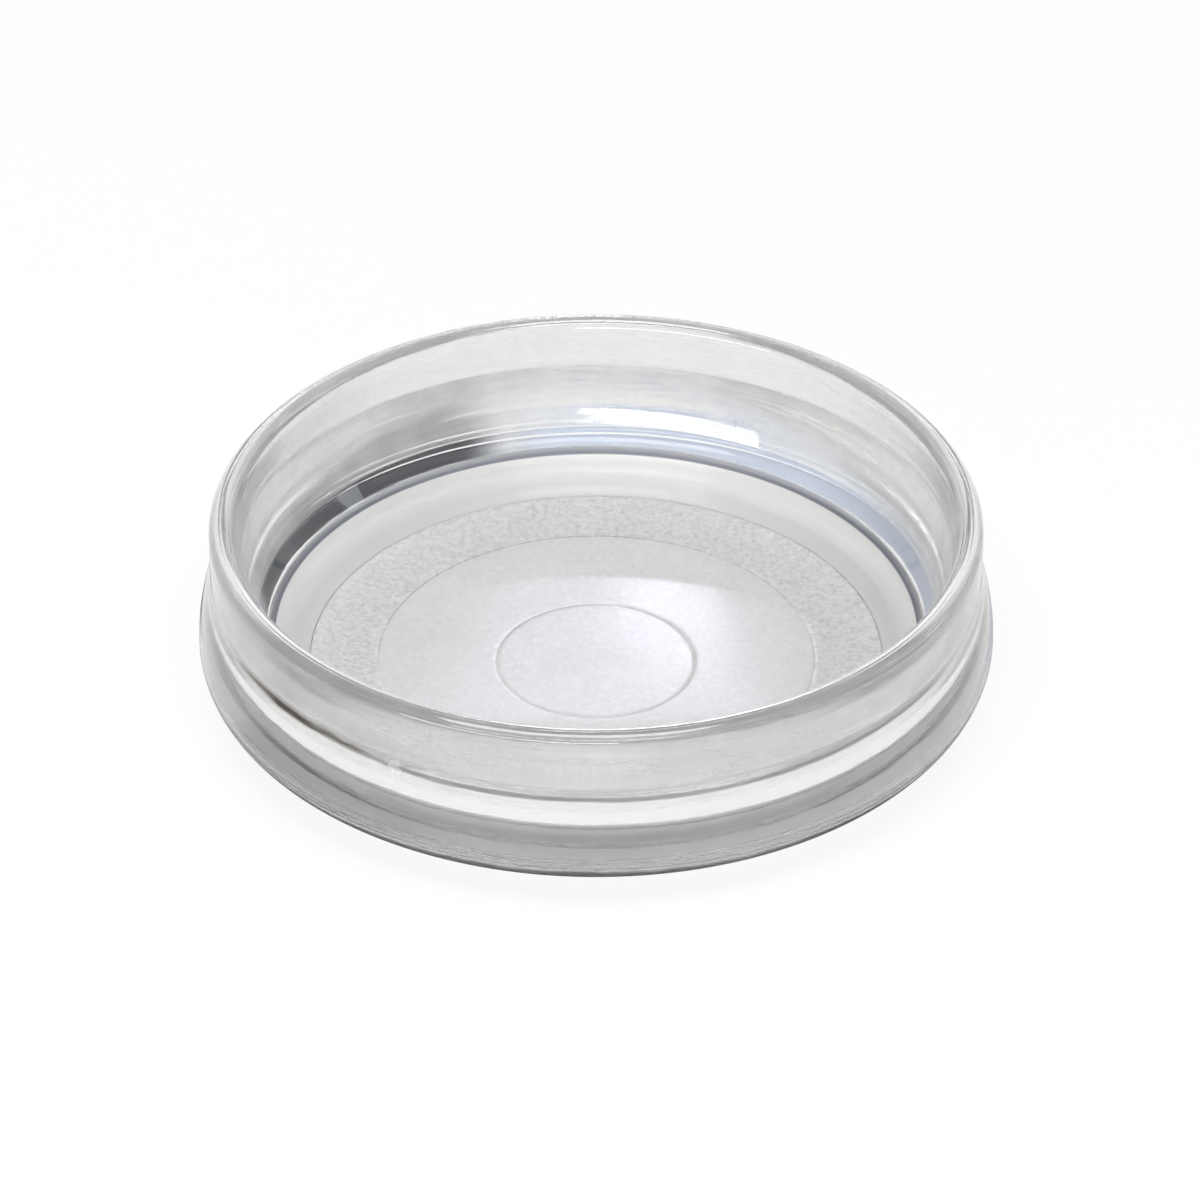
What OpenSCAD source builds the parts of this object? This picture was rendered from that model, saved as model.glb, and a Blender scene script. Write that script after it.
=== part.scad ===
// Caster cup: a clear round cup that a furniture wheel or leg stands in.
// Z = 0 is the surface that the cup stands on, and Z runs up the cup's axis. Millimetres.

/* [Wall] */
// Outside diameter of the upright band under the lip
band_d = 62.9; // [58:0.1:72]
// Height from the standing surface to the top of the lip
cup_h = 15.8; // [14:0.1:20]
// Wall thickness at the lip, which is fully rounded
lip_wall = 2.0; // [1.4:0.1:3]
// Height of the neck, where the wall starts to flare out
neck_z = 10.7; // [8.5:0.1:12]
// How far the bulge stands out past the upright band
bulge_out = 1.05; // [0.4:0.05:2.5]
// Height of the bulge's widest line
bulge_z = 4.8; // [4.2:0.1:6.5]
// Radius of the rounding under the bulge
foot_round = 3.2; // [2:0.1:4]
// Distance from the lowest line of that rounding in to the plinth under the floor
plinth_inset = 4.1; // [2.5:0.1:4.6]

/* [Well] */
// Radial thickness from the band's outside to the lower end of the tapered inner wall
wall_foot = 4.15; // [3.4:0.05:5]
// Height of the lower end of the tapered inner wall
wall_foot_z = 6.9; // [5.8:0.1:9]
// Radial width of the steep cove under the tapered inner wall
cove_w = 0.8; // [0.4:0.1:1.4]
// Height of the cove
cove_h = 2.1; // [1.2:0.1:3]
// Radial width of the plain bevel between the cove and the grip disc
bevel_w = 3.0; // [2:0.1:5]
// Thickness of the floor at its middle
floor_t = 0.6; // [0.5:0.05:1.2]

/* [Grip disc] */
// Thickness of the disc
disc_t = 0.4; // [0.35:0.05:0.8]
// How far the middle of the dished floor lies below its edge
dish_depth = 0.9; // [0.6:0.1:1.4]
// Gap round the disc in its recess
disc_gap = 0.1; // [0.05:0.05:0.3]
// Diameter of the outer ring line
outer_line_d = 35.8; // [24:0.2:44]
// Diameter of the inner ring line
inner_line_d = 16.4; // [6:0.2:22]
// Radius of the round bead that makes a ring line
line_r = 0.2; // [0.15:0.01:0.25]
// How far a ring line stands above the disc
line_h = 0.12; // [0.05:0.01:0.15]

/* [Base ring] */
// Thickness of the ring
ring_t = 0.8; // [0.6:0.05:1]
// Radial width of the ring
ring_w = 4.5; // [3:0.1:6]
// How far the ring stands below the plinth
ring_proud = 0.3; // [0.2:0.05:0.5]
// Distance from the edge of the plinth in to the ring
ring_inset = 2.2; // [1.2:0.1:5]
// Gap on each side of the ring in its groove
ring_gap = 0.1; // [0.05:0.05:0.3]

/* [Hidden] */
$fn = 128;

// Exponent that softens the start of the flare at the neck
flare_power = 1.15;
flare_steps = 14;
arc_steps = 12;
dish_steps = 14;

band_r = band_d / 2;
bulge_r = band_r + bulge_out;
lip_r = lip_wall / 2;

under_z = ring_proud;
foot_centre = [bulge_r - foot_round, bulge_z];
ledge_z = bulge_z - foot_round;
plinth_r = foot_centre.x - plinth_inset;

cove_top_r = band_r - wall_foot;
cove_foot_r = cove_top_r - cove_w;
recess_r = cove_foot_r - bevel_w;
disc_r = recess_r - disc_gap;

ring_out_r = plinth_r - ring_inset;
ring_in_r = ring_out_r - ring_w;
groove_top_z = ring_t;

// Height of the floor under the grip disc, which dips towards the middle
function floor_z(r) = under_z + floor_t + dish_depth * pow(r / recess_r, 2);

// Points of an arc from angle a to angle b
function arc(centre, radius, a, b) =
    [for (i = [0:arc_steps])
        let (angle = a + (b - a) * i / arc_steps)
        centre + radius * [cos(angle), sin(angle)]];

// Points along the dished floor, raised by lift, from radius a to radius b
function dish(a, b, lift) =
    [for (i = [0:dish_steps])
        let (r = a + (b - a) * i / dish_steps)
        [r, floor_z(r) + lift]];

// Flared wall from the bulge up to the neck
flare =
    [for (i = [0:flare_steps])
        let (rise = i / flare_steps)
        [band_r + bulge_out * pow(cos(90 * rise), flare_power), bulge_z + (neck_z - bulge_z) * rise]];

underside =
    [[0, under_z],
     [ring_in_r - ring_gap, under_z],
     [ring_in_r - ring_gap, groove_top_z],
     [ring_out_r + ring_gap, groove_top_z],
     [ring_out_r + ring_gap, under_z],
     [plinth_r, under_z],
     [plinth_r, ledge_z]];

foot = arc(foot_centre, foot_round, -90, 0);
lip = arc([band_r - lip_r, cup_h - lip_r], lip_r, 0, 180);

well =
    [[cove_top_r, wall_foot_z],
     [cove_foot_r, wall_foot_z - cove_h],
     [recess_r, floor_z(recess_r) + disc_t]];

// Clear rigid moulding: lip, wall, bulge, floor and plinth in one piece
module cup_body() {
    color([0.88, 0.9, 0.9, 0.55])
        rotate_extrude()
            polygon(concat(underside, foot, [for (i = [1:flare_steps]) flare[i]], lip, well,
                dish(recess_r, 0, 0)));
}

// Round bead that makes one ring line on the grip disc
module ring_line(r) {
    rotate_extrude()
        translate([r, floor_z(r) + disc_t + line_h - line_r])
            circle(line_r);
}

// Frosted soft disc laid in the recess of the dished floor
module grip_disc() {
    color([0.82, 0.83, 0.86, 0.75])
        union() {
            rotate_extrude()
                polygon(concat(dish(0, disc_r, 0), dish(disc_r, 0, disc_t)));
            ring_line(outer_line_d / 2);
            ring_line(inner_line_d / 2);
        }
}

// Soft clear ring in the groove under the plinth, which the cup stands on
module base_ring() {
    color([0.75, 0.76, 0.72, 0.7])
        difference() {
            cylinder(r = ring_out_r, h = ring_t);
            translate([0, 0, -ring_t])
                cylinder(r = ring_in_r, h = 3 * ring_t);
        }
}

cup_body();
grip_disc();
base_ring();
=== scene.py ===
import math

import bmesh
import bpy
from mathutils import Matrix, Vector


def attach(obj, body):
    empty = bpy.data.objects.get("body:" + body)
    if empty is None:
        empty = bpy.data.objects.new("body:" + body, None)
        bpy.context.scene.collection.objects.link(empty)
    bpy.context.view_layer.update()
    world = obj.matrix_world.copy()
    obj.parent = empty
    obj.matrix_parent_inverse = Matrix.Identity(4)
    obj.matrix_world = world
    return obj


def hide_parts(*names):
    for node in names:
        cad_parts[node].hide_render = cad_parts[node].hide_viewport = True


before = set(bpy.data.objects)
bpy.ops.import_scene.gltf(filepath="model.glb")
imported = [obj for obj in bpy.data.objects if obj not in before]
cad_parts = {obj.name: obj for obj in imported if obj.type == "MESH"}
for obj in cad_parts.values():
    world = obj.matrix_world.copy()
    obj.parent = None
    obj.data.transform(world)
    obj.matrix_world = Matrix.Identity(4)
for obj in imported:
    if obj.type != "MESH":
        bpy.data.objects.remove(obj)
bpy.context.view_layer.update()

# Cup: one clear rigid moulding of polystyrene. Its sizes are in millimetres.
# It has a rounded lip, a wall that flares into a bulge and turns under at the foot, and a dished floor.
# It is turned from one outline, because every face of the mould is a body of revolution.
MM = 0.001
TURNS = 300
band_r = 31.45
bulge_r = 32.5
cup_h = 15.8
lip_r = 1.0
lip_groove = 0.035
neck_z = 10.7
neck_crease = 0.05
bulge_z = 4.8
flare_power = 1.05
flare_steps = 30
foot_round = 3.2
foot_groove = 0.06
plinth_r = 25.2
under_z = 0.3
ledge_rise = 1.1
wall_bend = (28.3, 8.2)
cove_top = (27.6, 6.6)
cove_foot = (26.5, 4.75)
recess_r = 23.5
floor_t = 0.6
disc_t = 0.4
dish_depth = 0.9
dish_steps = 16
ring_in_r = 18.5
ring_out_r = 23.0
ring_t = 0.8
ring_gap = 0.1


def floor_z(r):
    """Height of the dished floor that the grip disc lies on."""
    return under_z + floor_t + dish_depth * (r / recess_r) ** 2


def grooved_arc(centre, radius, start, end, lines, half_width, depth, steps=60):
    """Points of an arc, in degrees, with a shallow groove of that half width at each of the lines."""
    points = []
    for step in range(steps + 1):
        turn = start + (end - start) * step / steps
        dips = [max(0, 1 - abs(turn - line) / half_width) for line in lines]
        reach = radius - depth * max(dips)
        aim = math.radians(turn)
        points.append((centre[0] + reach * math.cos(aim), centre[1] + reach * math.sin(aim)))
    return points


def eased(corners, steps=5):
    """A line through corners of (r, z, rounding), with each inner corner rounded by a short curve."""
    line = [Vector(corners[0][:2])]
    for before, here, after in zip(corners, corners[1:], corners[2:]):
        tip = Vector(here[:2])
        rounding = here[2]
        if not rounding:
            line.append(tip)
            continue
        start = tip + (Vector(before[:2]) - tip).normalized() * rounding
        end = tip + (Vector(after[:2]) - tip).normalized() * rounding
        for step in range(steps + 1):
            t = step / steps
            line.append(start * (1 - t) ** 2 + tip * 2 * t * (1 - t) + end * t ** 2)
    line.append(Vector(corners[-1][:2]))
    return [tuple(point) for point in line]


def spaced(points, longest):
    """The same line with long runs cut into steps of at most longest millimetres."""
    line = [points[0]]
    for a, b in zip(points, points[1:]):
        cuts = max(1, math.ceil(math.dist(a, b) / longest))
        for i in range(1, cuts + 1):
            line.append((a[0] + (b[0] - a[0]) * i / cuts, a[1] + (b[1] - a[1]) * i / cuts))
    return line


class Wire:
    """A socket of a node tree. Sums on it add Math nodes, and node() adds any other kind."""

    def __init__(self, tree, socket=None):
        self.tree = tree
        self.socket = socket

    def node(self, kind, settings=(), out=0, **inputs):
        """Adds a node. Inputs go by socket name, or by place as _0, _1; out picks one output or several."""
        made = self.tree.nodes.new(kind)
        for name, value in settings:
            setattr(made, name, value)
        for name, value in inputs.items():
            key = int(name[1:]) if name[1:].isdigit() else name.replace("_", " ")
            if isinstance(value, Wire):
                self.tree.links.new(value.socket, made.inputs[key])
            else:
                made.inputs[key].default_value = value
        if isinstance(out, tuple):
            return [Wire(self.tree, made.outputs[name]) for name in out]
        return Wire(self.tree, made.outputs[out])

    def maths(self, operation, first, second=0.0):
        return self.node("ShaderNodeMath", [("operation", operation)], _0=first, _1=second)

    def __add__(self, other):
        return self.maths("ADD", self, other)

    def __radd__(self, other):
        return self.maths("ADD", other, self)

    def __sub__(self, other):
        return self.maths("SUBTRACT", self, other)

    def __rsub__(self, other):
        return self.maths("SUBTRACT", other, self)

    def __mul__(self, other):
        return self.maths("MULTIPLY", self, other)

    def __rmul__(self, other):
        return self.maths("MULTIPLY", other, self)

    def __truediv__(self, other):
        return self.maths("DIVIDE", self, other)

    def __rtruediv__(self, other):
        return self.maths("DIVIDE", other, self)

    def size(self):
        return self.maths("ABSOLUTE", self)

    def at_most(self, other):
        return self.maths("MINIMUM", self, other)

    def at_least(self, other):
        return self.maths("MAXIMUM", self, other)

    def above(self, low, high):
        """0 up to low, 1 from high on, and a smooth step between them."""
        smooth = [("interpolation_type", "SMOOTHSTEP")]
        return self.node("ShaderNodeMapRange", smooth, _0=self, _1=low, _2=high)

    def below(self, low, high):
        """1 up to low, 0 from high on, and a smooth step between them."""
        return 1 - self.above(low, high)

    def within(self, start, full, fading, end):
        """0 up to start, 1 from full to fading, and 0 again from end on."""
        return self.above(start, full) * self.below(fading, end)

    def noise(self, scale, detail, roughness):
        """Noise at this place, from 0 to 1."""
        return self.node("ShaderNodeTexNoise", Vector=self, Scale=scale, Detail=detail, Roughness=roughness)


def lathe_tree():
    """Geometry Nodes that turn a line of points in the XZ plane about Z into a closed smooth body."""
    tree = bpy.data.node_groups.new("lathe", "GeometryNodeTree")
    for name, kind in (("Outline", "Geometry"), ("Turns", "Int"), ("Finish", "Material")):
        tree.interface.new_socket(name, in_out="INPUT", socket_type="NodeSocket" + kind)
    tree.interface.new_socket("Body", in_out="OUTPUT", socket_type="NodeSocketGeometry")
    wire = Wire(tree)
    outline, turns, finish = wire.node("NodeGroupInput", out=("Outline", "Turns", "Finish"))
    count = wire.node("GeometryNodeAttributeDomainSize", Geometry=outline)
    grid = wire.node("GeometryNodeMeshGrid", Vertices_X=turns + 1, Vertices_Y=count)
    index = wire.node("GeometryNodeInputIndex")
    row = wire.node("FunctionNodeIntegerMath", [("operation", "MODULO")], _0=index, _1=count)
    turn = wire.node("FunctionNodeIntegerMath", [("operation", "DIVIDE_FLOOR")], _0=index, _1=count)
    place = wire.node("GeometryNodeInputPosition")
    sampling = [("data_type", "FLOAT_VECTOR"), ("domain", "POINT")]
    point = wire.node("GeometryNodeSampleIndex", sampling, Geometry=outline, Value=place, Index=row)
    spin = [("rotation_type", "Z_AXIS")]
    turned = wire.node("ShaderNodeVectorRotate", spin, Vector=point, Angle=turn / turns * math.tau)
    body = wire.node("GeometryNodeSetPosition", Geometry=grid, Position=turned)
    body = wire.node("GeometryNodeMergeByDistance", Geometry=body, Distance=1e-4 * MM)
    body = wire.node("GeometryNodeSetShadeSmooth", Geometry=body)
    body = wire.node("GeometryNodeRealizeInstances", Geometry=body)
    body = wire.node("GeometryNodeSetMaterial", Geometry=body, Material=finish)
    wire.node("NodeGroupOutput", out=(), Body=body)
    return tree


lathe = lathe_tree()


def turned_piece(name, points, finish):
    """A plain mesh object, turned from a line of (r, z) points in millimetres."""
    outline = bpy.data.meshes.new(name + "_outline")
    edges = [(i, i + 1) for i in range(len(points) - 1)]
    outline.from_pydata([(r * MM, 0, z * MM) for r, z in points], edges, [])
    blank = bpy.data.objects.new(name + "_outline", outline)
    bpy.context.scene.collection.objects.link(blank)
    turning = blank.modifiers.new("lathe", "NODES")
    turning.node_group = lathe
    for socket in lathe.interface.items_tree:
        if socket.name == "Turns":
            turning[socket.identifier] = TURNS
        if socket.name == "Finish":
            turning[socket.identifier] = finish
    now = bpy.context.evaluated_depsgraph_get()
    mesh = bpy.data.meshes.new_from_object(blank.evaluated_get(now), depsgraph=now)
    bpy.data.objects.remove(blank)
    shell = bmesh.new()
    shell.from_mesh(mesh)
    bmesh.ops.dissolve_degenerate(shell, edges=shell.edges, dist=1e-5 * MM)
    bmesh.ops.recalc_face_normals(shell, faces=shell.faces)
    shell.to_mesh(mesh)
    shell.free()
    mesh.name = name
    piece = bpy.data.objects.new(name, mesh)
    bpy.context.scene.collection.objects.link(piece)
    return piece


def new_finish(name):
    """An empty material, and a Wire to add its nodes with."""
    finish = bpy.data.materials.new(name)
    finish.use_nodes = True
    finish.node_tree.nodes.clear()
    return finish, Wire(finish.node_tree)


def finished(finish, surface):
    """The material, with its surface joined to its output."""
    surface.node("ShaderNodeOutputMaterial", out=(), Surface=surface)
    return finish


def own_place(shade):
    """Where a point of the piece is, in metres."""
    return shade.node("ShaderNodeTexCoord", out="Object")


def axes_of(place):
    """The x, y and z of a place, in millimetres."""
    axes = place.node("ShaderNodeSeparateXYZ", out=("X", "Y", "Z"), Vector=place)
    return [axis / MM for axis in axes]


def round_axis(x, y):
    """Distance from the cup's axis, and degrees round it: 0 back, 90 right, -90 left, 180 front."""
    reach = x.maths("SQRT", x * x + y * y)
    return reach, x.maths("ARCTAN2", x, y) * (180 / math.pi)


def clear_plastic():
    """Polished plastic with a hazy wall, a dull bevel, a dark streak and a nick at the neck, and painted
    shade in the cove's corner and along the bottom of the foot.
    """
    finish, shade = new_finish("clear_plastic")
    clear_ior = 1.55
    place = own_place(shade)
    x, y, z = axes_of(place)
    r, bearing = round_axis(x, y)
    # Flow streaks run round the wall, so their noise is drawn out round it and squeezed in height
    along = shade.node("ShaderNodeCombineXYZ", X=x / r * 2.2, Y=y / r * 2.2, Z=z * 0.9 + r * 0.5)
    streaks = along.noise(1.0, 4.0, 0.6)
    cloud = place.noise(180.0, 3.0, 0.55)
    fine = place.noise(2400.0, 2.0, 0.6)
    worn = streaks.above(0.42, 0.72)
    haze = cloud.above(0.35, 0.7)
    # Where each surface lies, by its height and its distance from the axis
    inside = r.below(30.0, 30.5)
    lip = z.above(14.2, 14.8)
    upper = z.above(6.8, 7.6) * 0.65 + z.above(9.0, 11.2) * 0.35
    cove = z.within(5.0, 5.2, 6.4, 6.7) * r.below(27.8, 28.1)
    # A thin dark blue line painted in the corner at the foot of the cove: painted shade
    corner = r.within(26.25, 26.35, 26.7, 26.9) * z.within(4.4, 4.5, 5.0, 5.4)
    bevel = z.above(1.9, 2.1) * r.below(26.4, 26.6)
    beneath = z.below(1.2, 1.4) * r.below(25.3, 25.5)
    # The well wall is hazy from use, but for a clean patch at the back and most of its front
    patchy = bearing + (cloud - 0.5) * 26
    clean = patchy.within(-7, 3, 19, 29) * (z + (cloud - 0.5) * 2).below(7.6, 8.8)
    front = bearing.size().above(100, 130)
    well_wall = inside * z.above(6.5, 6.8) * (1 - lip) * (1 - clean) * (1 - front * 0.9)
    # The front half of the foot is made matt and dark along the bottom: painted shade for the dark edge
    # above the floor
    sole_shade = (z + (cloud - 0.5) * 1.2).below(3.1, 3.9) * r.above(30.0, 30.4)
    sole_shade = sole_shade * bearing.size().above(92, 115)
    # A dark streak in the crease of the neck at the front left, and a nick beside it
    crease = bearing.within(-152, -143, -124, -106) * r.above(31.0, 31.2)
    off_line = (z - 10.4 + (cloud - 0.5) * 0.6).size()
    crease_streak = crease * off_line.below(0.1, 0.6) * (0.3 + streaks.above(0.35, 0.6) * 0.7)
    nick_at = (-15.9 * MM, -27.2 * MM, 10.1 * MM)
    apart = [("operation", "DISTANCE")]
    to_nick = shade.node("ShaderNodeVectorMath", apart, out="Value", _0=place, _1=nick_at)
    nick = (to_nick / MM + (fine - 0.5) * 2).below(0.3, 1.0)
    bump = shade.node(
        "ShaderNodeBump",
        Strength=0.09 - cove * 0.08 - lip * 0.07,
        Distance=0.4 * MM,
        Height=streaks * 0.6 + cloud * 0.4,
    )
    polished = shade.node(
        "ShaderNodeBsdfPrincipled",
        Base_Color=(0.985, 0.985, 0.98, 1),
        Roughness=(0.04 + worn * 0.06 + haze * 0.03) * (1 - cove * 0.8) + beneath * 0.5,
        IOR=clear_ior,
        Transmission_Weight=1.0,
        Coat_Weight=0.5 + haze * 0.3 - cove * 0.45,
        Coat_Roughness=0.04,
        Normal=bump,
    )
    # The bottom of the foot is darkened here as painted shade
    tone = 0.86 - bevel * 0.08 - sole_shade * 0.72
    dull = shade.node(
        "ShaderNodeCombineColor",
        Red=tone - corner * 0.62 - crease_streak * 0.80,
        Green=tone * 0.995 - corner * 0.605 - crease_streak * 0.81,
        Blue=tone * (0.98 + bevel * 0.01) - corner * 0.56 - crease_streak * 0.81,
    )
    scuffed = shade.node(
        "ShaderNodeBsdfPrincipled",
        Base_Color=dull,
        Roughness=0.45 + fine * 0.2,
        IOR=clear_ior,
        Specular_IOR_Level=0.15,
        Transmission_Weight=0.35,
        Normal=bump,
    )
    rubbed = 0.02 + upper * (0.13 + worn * 0.07 + haze * 0.08 + fine * 0.03)
    rubbed = rubbed + well_wall * (0.4 + worn * 0.1 + haze * 0.1) + bevel * (0.86 + cloud * 0.12)
    rubbed = rubbed + corner * 0.8 + nick * 0.4 + crease_streak * 0.95 + beneath * 0.9 + sole_shade * (0.7 + fine * 0.6)
    surface = shade.node("ShaderNodeMixShader", _0=rubbed.at_most(1.0), _1=polished, _2=scuffed)
    return finished(finish, surface)


foot_centre = (bulge_r - foot_round, bulge_z)
lip_centre = (band_r - lip_r, cup_h - lip_r)
ledge_z = bulge_z - foot_round
groove_in_r = ring_in_r - ring_gap
groove_out_r = ring_out_r + ring_gap
dish_r = recess_r - 1
under_line = eased([
    (0, under_z, 0),
    (groove_in_r, under_z, 0.1),
    (groove_in_r, ring_t, 0.1),
    (groove_out_r, ring_t, 0.1),
    (groove_out_r, under_z, 0.1),
    (plinth_r, under_z, 0.2),
    (plinth_r, ledge_z + ledge_rise, 0.2),
    (foot_centre[0], ledge_z, 0),
])
foot_line = grooved_arc(foot_centre, foot_round, -90, 0, (-34, -20, -9), 2.2, foot_groove)
wall_line = []
for step in range(1, flare_steps + 1):
    rise = step / flare_steps
    out_by = (bulge_r - band_r) * math.cos(math.pi / 2 * rise) ** flare_power
    wall_line.append((band_r + out_by, bulge_z + (neck_z - bulge_z) * rise))
wall_line += [(band_r - neck_crease, neck_z + 0.15), (band_r, neck_z + 0.45)]
wall_line += grooved_arc(lip_centre, lip_r, 0, 180, (40, 85, 125), 7, lip_groove)
well_line = eased([
    (*wall_line[-1], 0),
    (*wall_bend, 0.4),
    (*cove_top, 0.15),
    (*cove_foot, 0.22),
    (recess_r, floor_z(recess_r) + disc_t, 0.12),
    (recess_r, floor_z(recess_r), 0.05),
    (dish_r, floor_z(dish_r), 0),
])
dish_line = []
for step in range(dish_steps + 1):
    r = dish_r * (1 - step / dish_steps)
    dish_line.append((r, floor_z(r)))
cup_outline = spaced(under_line, 1.0)[:-1] + foot_line
cup_outline += spaced(wall_line, 0.5)
cup_outline += spaced(well_line, 0.5)[1:]
cup_outline += spaced(dish_line, 1.2)[1:]
cup = turned_piece("cup", cup_outline, clear_plastic())
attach(cup, "root")
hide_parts("cup_body")

# Grip disc: a thin disc of soft clear vinyl, laid in a recess of the dished floor.
# Its top is frosted so that a wheel doesn't slide, smoother in the middle, with two raised ring lines.
disc_r = 23.46
ring_lines = (17.9, 8.2)
line_half = 0.09
line_h = 0.003
air = 0.02
rim_w = 0.4
under_steps = 24
top_steps = 60
ridge_steps = 6
vinyl_ior = 1.5


def disc_top(r):
    """Height of the disc's top, with a rounded ridge at each ring line."""
    ridge = 0
    for line in ring_lines:
        off = min(abs(r - line) / line_half, 1)
        ridge += line_h * (1 - off * off) ** 1.5
    return floor_z(r) + disc_t + ridge


def frosted_vinyl():
    """Milky vinyl, coarse in its outer ring, finer in the middle, with glints that are partly painted
    highlights, and faint ring lines of painted shade.
    """
    finish, shade = new_finish("frosted_vinyl")
    place = own_place(shade)
    x, y, _ = axes_of(place)
    r, bearing = round_axis(x, y)
    grain = place.noise(2000.0, 2.0, 0.65)
    blotches = place.noise(220.0, 3.0, 0.6)
    faint = place.noise(70.0, 2.0, 0.5)
    pits = shade.node("ShaderNodeTexVoronoi", Vector=place, Scale=2200.0)
    fleck, cell = shade.node("ShaderNodeTexVoronoi", out=("Distance", "Color"), Vector=place, Scale=800.0)
    chosen = shade.node("ShaderNodeSeparateColor", Color=cell)
    outer = r.above(17.6, 18.2)
    glint = place.noise(1500.0, 2.0, 0.5).above(0.56, 0.7)
    sparkle = fleck.below(0.1, 0.2) * chosen.above(0.72, 0.8)
    # The ring lines are painted shade on their low ridges: plain at the back left, and coming and going
    # elsewhere
    line_shade = 0.0
    for line in ring_lines:
        line_shade = (r - line).size().below(0.02, 0.09) + line_shade
    back_left = bearing.within(-80, -60, -15, 25)
    line_shade = line_shade * (0.1 + back_left * 0.9 + faint.above(0.47, 0.58) * 0.5).at_most(1.0)
    tone = 0.91 + (grain - 0.5) * (0.24 + outer * 0.5) + (blotches - 0.5) * 0.06
    # Glints and sparkles are painted highlights in the colour here, besides their real shine in the coat
    tone = (tone + glint * 0.07 + sparkle * 0.2 - line_shade * 0.42).at_most(1.0)
    tint = shade.node("ShaderNodeCombineColor", Red=tone, Green=tone, Blue=tone * 1.005)
    shine = glint * 0.4 + sparkle * 0.4 + (blotches - 0.5) * 0.3 - line_shade * 0.2
    bump = shade.node(
        "ShaderNodeBump",
        Strength=0.4 + outer * 0.6,
        Distance=0.3 * MM,
        Height=grain * 0.6 + pits * 0.4,
    )
    surface = shade.node(
        "ShaderNodeBsdfPrincipled",
        Base_Color=tint,
        Roughness=0.3 + outer * 0.12 + blotches * 0.1,
        IOR=vinyl_ior,
        Transmission_Weight=0.5,
        Coat_Weight=0.55 - outer * 0.25 + shine,
        Coat_Roughness=0.055,
        Normal=bump,
    )
    return finished(finish, surface)


under_r = [disc_r * step / under_steps for step in range(under_steps - 1)]
under_disc = [(r, floor_z(r) + air) for r in under_r]
rim = eased([
    (disc_r - rim_w, floor_z(disc_r - rim_w) + air, 0),
    (disc_r, floor_z(disc_r) + air, 0.05),
    (disc_r, disc_top(disc_r), 0.12),
    (disc_r - rim_w, disc_top(disc_r - rim_w), 0),
])
top_r = set(disc_r * step / top_steps for step in range(top_steps))
for line in ring_lines:
    top_r |= set(line + line_half * step / ridge_steps for step in range(-ridge_steps, ridge_steps + 1))
top = [(r, disc_top(r)) for r in sorted(top_r, reverse=True) if r < disc_r - rim_w - 0.05]
disc = turned_piece("grip_disc_frosted", under_disc + rim + top, frosted_vinyl())
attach(disc, "root")
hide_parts("grip_disc")

# Base ring: a soft vinyl ring pressed into the groove under the floor.
# The cup stands on it, and three shallow grooves in its face keep it from skidding.
ring_w = ring_out_r - ring_in_r
ring_round = 0.2
ring_top = ring_t - 0.03
groove_deep = 0.12
groove_half = 0.3
face_steps = 48


def soft_ring():
    """Hazy matt vinyl."""
    finish, shade = new_finish("soft_ring")
    place = own_place(shade)
    cloud = place.noise(300.0, 3.0, 0.6)
    grain = place.noise(3000.0, 2.0, 0.6)
    tone = 0.93 + cloud * 0.06
    tint = shade.node("ShaderNodeCombineColor", Red=tone, Green=tone, Blue=tone * 0.985)
    bump = shade.node("ShaderNodeBump", Strength=0.3, Distance=0.1 * MM, Height=grain)
    surface = shade.node(
        "ShaderNodeBsdfPrincipled",
        Base_Color=tint,
        Roughness=0.42 + cloud * 0.2,
        IOR=vinyl_ior,
        Transmission_Weight=0.35,
        Normal=bump,
    )
    return finished(finish, surface)


face = []
for step in range(face_steps + 1):
    r = ring_in_r + ring_w * step / face_steps
    near = min(abs(r - (ring_in_r + ring_w * share)) for share in (0.25, 0.5, 0.75))
    depth = groove_deep * math.cos(math.pi / 2 * min(near / groove_half, 1)) ** 2
    face.append((r, depth, ring_round if step in (0, face_steps) else 0))
back = [(ring_out_r, ring_top, 0.1), (ring_in_r, ring_top, 0.1)]
seam = (ring_in_r, ring_t / 2, 0)
ring_outline = spaced(eased([seam] + face + back + [seam]), 0.5)
ring = turned_piece("base_ring_soft", ring_outline, soft_ring())
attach(ring, "root")
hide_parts("base_ring")

# Floor: plain pale paper that the cup stands on, lifted to white where the camera sees it.
# It lies a hair below the base ring, so that the two faces don't meet.
floor_half = 2.0
floor_low = -0.05 * MM
RAYS = ("Is Camera Ray", "Is Glossy Ray", "Is Transmission Ray")


def flat_sheet(name, points, faces, finish):
    """A flat studio piece that isn't part of the cup."""
    mesh = bpy.data.meshes.new(name)
    mesh.from_pydata(points, [], faces)
    mesh.materials.append(finish)
    sheet = bpy.data.objects.new(name, mesh)
    bpy.context.scene.collection.objects.link(sheet)
    return sheet


def pale_paper():
    """White to the camera and through the plastic, and plain paper to the light."""
    finish, shade = new_finish("studio_floor")
    camera_ray, glossy_ray, through_ray = shade.node("ShaderNodeLightPath", out=RAYS)
    paper = shade.node("ShaderNodeBsdfDiffuse", Color=(0.9, 0.9, 0.9, 1))
    white = shade.node("ShaderNodeEmission", Color=(1, 1, 1, 1), Strength=1.0)
    lifted = (camera_ray * 0.88 + glossy_ray * 0.1 + through_ray * 0.85).at_most(0.88)
    return finished(finish, shade.node("ShaderNodeMixShader", _0=lifted, _1=paper, _2=white))


floor_corners = []
for side, depth in ((-1, -1), (1, -1), (1, 1), (-1, 1)):
    floor_corners.append((side * floor_half, depth * floor_half, floor_low))
flat_sheet("studio_floor", floor_corners, [(0, 1, 2, 3)], pale_paper())

# Ground shade card: a paper ring laid on the floor round the foot, with painted shadow and painted light on
# it.
# Only the clear plastic sees it: painted shadow at the left for the dark edges, pale blue painted light at
# the back.
card_in = 32.6
card_out = 50.0
card_z = -0.02
card_steps = 96


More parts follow.
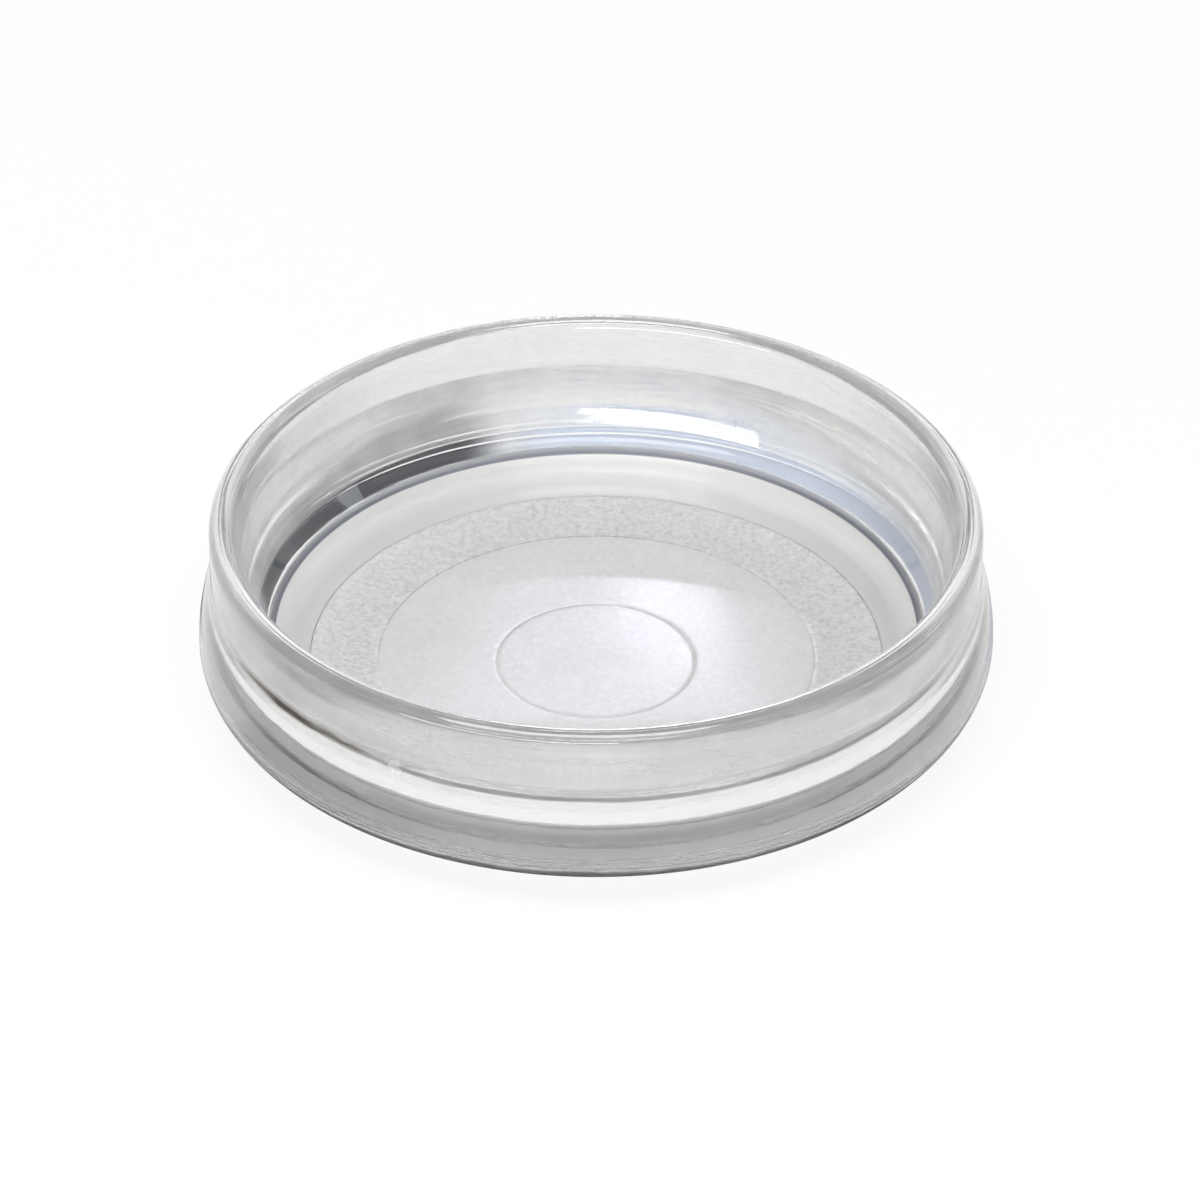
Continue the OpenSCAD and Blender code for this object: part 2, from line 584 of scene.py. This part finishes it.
def paper_ring(name, inner, outer, finish):
    """A flat ring on the floor that only the plastic sees, from its radii in millimetres."""
    points = []
    faces = []
    for step in range(card_steps + 1):
        turn = math.tau * step / card_steps
        for reach in (inner, outer):
            points.append((reach * MM * math.sin(turn), reach * MM * math.cos(turn), card_z * MM))
        if step:
            faces.append((2 * step - 2, 2 * step - 1, 2 * step + 1, 2 * step))
    sheet = flat_sheet(name, points, faces, finish)
    sheet.visible_camera = False
    sheet.visible_diffuse = False
    sheet.visible_shadow = False
    return sheet


def ground_shade_paper():
    """Clear but for the painted shadow and the pale blue painted light, by bearing and distance from the
    axis.
    """
    finish, shade = new_finish("ground_shade_card")
    x, y, _ = axes_of(own_place(shade))
    r, bearing = round_axis(x, y)
    close = r.below(37.2, 38.0)
    left = bearing.within(-88, -70, -20, -6) * close
    foot_left = bearing.within(-160, -145, -112, -98) * r.within(35.0, 37.0, 46.0, 49.5) * 0.8
    back = bearing.within(-20, -6, 70, 100) * close
    right = bearing.above(30, 60) * 0.4
    # A painted contact shadow in a narrow ring against the foot, all round but at the front
    contact_shade = r.below(33.4, 34.5) * bearing.size().below(138, 158)
    edges = left.at_least(foot_left)
    dark = edges.at_least(right).at_least(contact_shade * 0.9)
    cover = edges.at_least(back).at_least(contact_shade)
    tint = shade.node(
        "ShaderNodeCombineColor",
        Red=0.76 - dark * 0.74,
        Green=0.84 - dark * 0.815,
        Blue=1.0 - dark * 0.965,
    )
    paper = shade.node("ShaderNodeBsdfDiffuse", Color=tint)
    clear = shade.node("ShaderNodeBsdfTransparent")
    return finished(finish, shade.node("ShaderNodeMixShader", _0=cover, _1=clear, _2=paper))


paper_ring("ground_shade_card", card_in, card_out, ground_shade_paper())

# Foot shadow: a dark paper ring on the floor under the foot, for the dark gap between the two.
# It shows in reflections off the outside of the foot, and not through the plastic.
shadow_in = 26.5
shadow_out = 32.5


def dark_paper():
    """Plain black paper."""
    finish, shade = new_finish("foot_shadow")
    return finished(finish, shade.node("ShaderNodeBsdfDiffuse", Color=(0.02, 0.02, 0.022, 1)))


foot_shadow = paper_ring("foot_shadow", shadow_in, shadow_out, dark_paper())
foot_shadow.visible_transmission = False

# Room and lamps: a pale room that is brighter at the right, seen by the plastic but white to the camera.
# The key is a soft lamp overhead, with low soft lamps round the cup and a tall far window at the back.
lamp_aim = Vector((0, 0, 5 * MM))
pane_left = -10.8
pane_right = 13.0
pane_low = 440
pane_high = 640
pane_back = 700
room = bpy.data.worlds.new("room")
bpy.context.scene.world = room
room.use_nodes = True
room.node_tree.nodes.clear()
shade = Wire(room.node_tree)
camera_ray, glossy_ray, through_ray = shade.node("ShaderNodeLightPath", out=RAYS)
way = shade.node("ShaderNodeTexCoord", out="Generated")
sideways, height = shade.node("ShaderNodeSeparateXYZ", out=("X", "Z"), Vector=way)
tone = 0.2 + height.above(0.05, 0.34) * (0.12 + sideways.above(-0.85, 0.6) * 0.48)
wall_colour = shade.node("ShaderNodeCombineColor", Red=tone, Green=tone * 0.99, Blue=tone * 0.985)
fill = shade.node("ShaderNodeBackground", Color=wall_colour, Strength=0.3)
walls = shade.node("ShaderNodeBackground", Color=wall_colour, Strength=1.0)
white = shade.node("ShaderNodeBackground", Color=(1, 1, 1, 1), Strength=1.0)
mirrored = (glossy_ray + through_ray).at_most(1.0)
mixed = shade.node("ShaderNodeMixShader", _0=mirrored, _1=fill, _2=walls)
mixed = shade.node("ShaderNodeMixShader", _0=camera_ray, _1=mixed, _2=white)
shade.node("ShaderNodeOutputWorld", out=(), Surface=mixed)


def soft_lamp(name, place, size, power, colour):
    """A rectangular soft lamp that faces the cup."""
    light = bpy.data.lights.new(name, "AREA")
    light.shape = "RECTANGLE"
    light.size = size[0]
    light.size_y = size[1]
    light.energy = power
    light.color = colour
    lamp = bpy.data.objects.new(name, light)
    bpy.context.scene.collection.objects.link(lamp)
    lamp.location = place
    lamp.rotation_euler = (lamp_aim - lamp.location).to_track_quat("-Z", "Y").to_euler()


soft_lamp("top_window", (-0.06, -0.28, 0.935), (0.8, 0.5), 9.0, (1.0, 0.995, 0.985))
soft_lamp("low_window", (-0.353, -0.793, 0.218), (1.0, 0.09), 2.8, (1.0, 0.99, 0.98))
soft_lamp("right_window", (0.73, 0.129, 0.30), (0.4, 0.3), 0.9, (0.9, 0.94, 1.0))
soft_lamp("back_window", (0.0, 0.742, 0.29), (0.5, 0.2), 0.5, (0.9, 0.93, 1.0))
soft_lamp("back_pane_low", (-0.0072, 0.705, 0.257), (0.03, 0.12), 0.17, (0.9, 0.92, 1.0))


def window_glow():
    """Pale blue light that fades at the window's sides and top, with one brighter part."""
    finish, shade = new_finish("far_window")
    x, _, z = axes_of(own_place(shade))
    soft_edge = x.within(pane_left, -8.5, 5.0, 12.5) * (1 - z.above(530, pane_high) * 0.85)
    bright = x.below(-3.6, -2.2) * z.above(pane_low, 520)
    glow = (5.0 + bright * 10.0) * soft_edge
    colour = shade.node("ShaderNodeCombineColor", Red=glow * 0.82, Green=glow * 0.83, Blue=glow)
    return finished(finish, shade.node("ShaderNodeEmission", Color=colour, Strength=1.0))


pane_x = (pane_left, pane_right, pane_right, pane_left)
pane_z = (pane_low, pane_low, pane_high, pane_high)
pane_corners = [(x * MM, pane_back * MM, z * MM) for x, z in zip(pane_x, pane_z)]
far_window = flat_sheet("far_window", pane_corners, [(0, 1, 2, 3)], window_glow())
far_window.visible_camera = False
far_window.visible_diffuse = False
cycles = bpy.context.scene.cycles
cycles.caustics_refractive = True
cycles.caustics_reflective = True
cycles.sample_clamp_indirect = 4
cycles.max_bounces = 32
cycles.transmission_bounces = 32

# Camera: where the photograph was taken from, found by fitting the rim and the rings of the floor.
# It is a long lens from about thirty-four degrees up, level, and it looks a little below the rim.
rim_r = 31.2
rim_z = 15.5
rim_pixels = 381.6
frame_pixels = 1200
rims_away = 20
view_up = math.radians(34.12)
look_at = Vector((0.01 * rim_r, 0, rim_z - 0.258 * rim_r)) * MM
lens = bpy.data.cameras.new("camera")
lens.sensor_width = 36
lens.lens = rim_pixels * rims_away / frame_pixels * lens.sensor_width
lens.clip_start = 0.01
camera = bpy.data.objects.new("camera", lens)
bpy.context.scene.collection.objects.link(camera)
toward_camera = Vector((0, -math.cos(view_up), math.sin(view_up)))
camera.location = look_at + toward_camera * rims_away * rim_r * MM
camera.rotation_euler = (look_at - camera.location).to_track_quat("-Z", "Y").to_euler()
bpy.context.scene.camera = camera
bpy.context.scene.view_settings.view_transform = "Standard"
